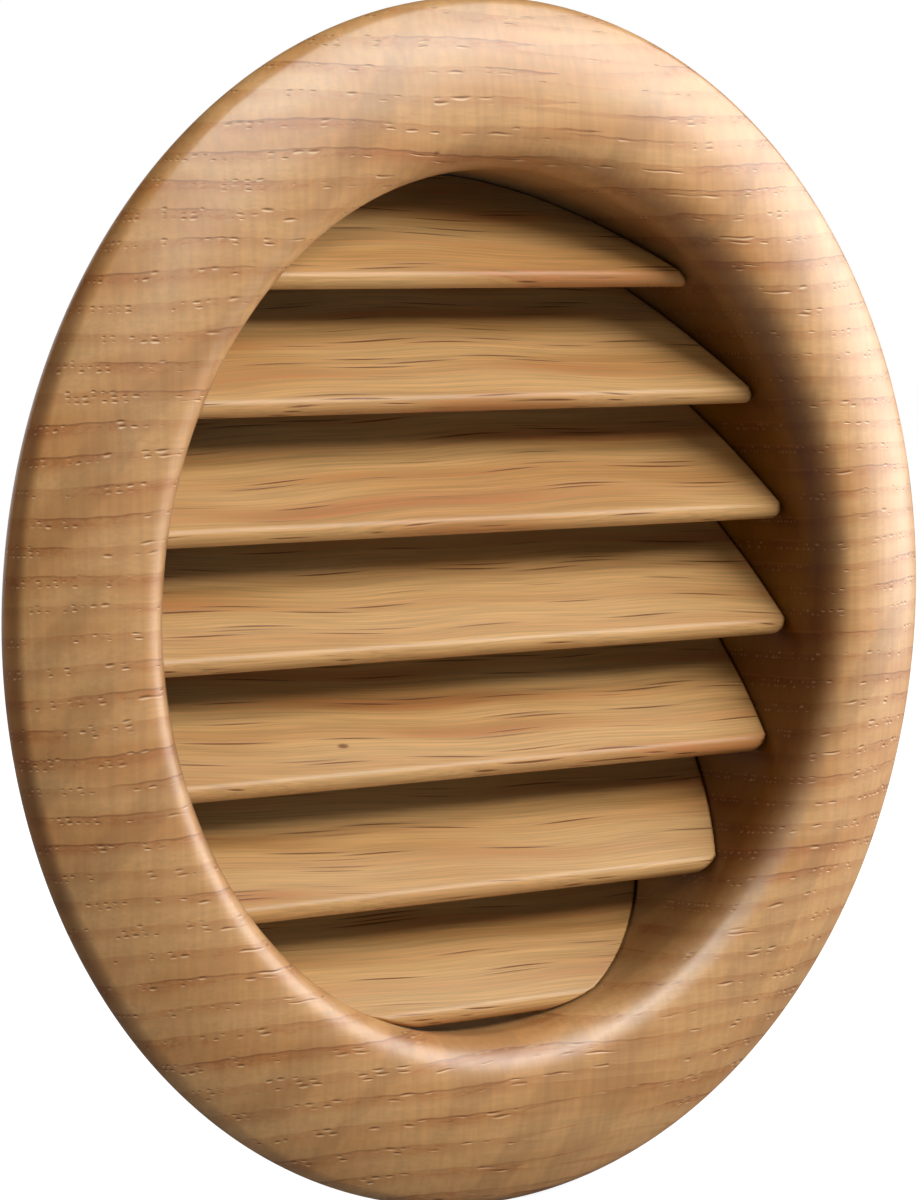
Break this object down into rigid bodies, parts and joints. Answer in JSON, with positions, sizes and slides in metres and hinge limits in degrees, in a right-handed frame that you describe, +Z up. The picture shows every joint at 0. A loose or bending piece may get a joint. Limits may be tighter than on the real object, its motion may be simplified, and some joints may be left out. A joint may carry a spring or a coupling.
{
  "type": "round vent grille",
  "caption": "Round wooden vent grille: a turned ring with a rounded face and a rear spigot, filled with fixed slanted louvre slats.",
  "frame": {"origin": "on the ring's axis, in the plane where the flange's back lies against the wall", "axes": "+Y along the axis into the wall and the duct, the face looks towards -Y, +Z up"},
  "size_m": [0.1518, 0.0262, 0.1518],
  "materials": {
    "ring_oak": "clear satin lacquer",
    "slat_oak": "clear satin lacquer"
  },
  "bodies": {
    "root": {"ring": "ring_oak", "slat_1": "slat_oak", "slat_2": "slat_oak", "slat_3": "slat_oak", "slat_4": "slat_oak", "slat_5": "slat_oak", "slat_6": "slat_oak", "slat_7": "slat_oak"}
  },
  "joints": []
}
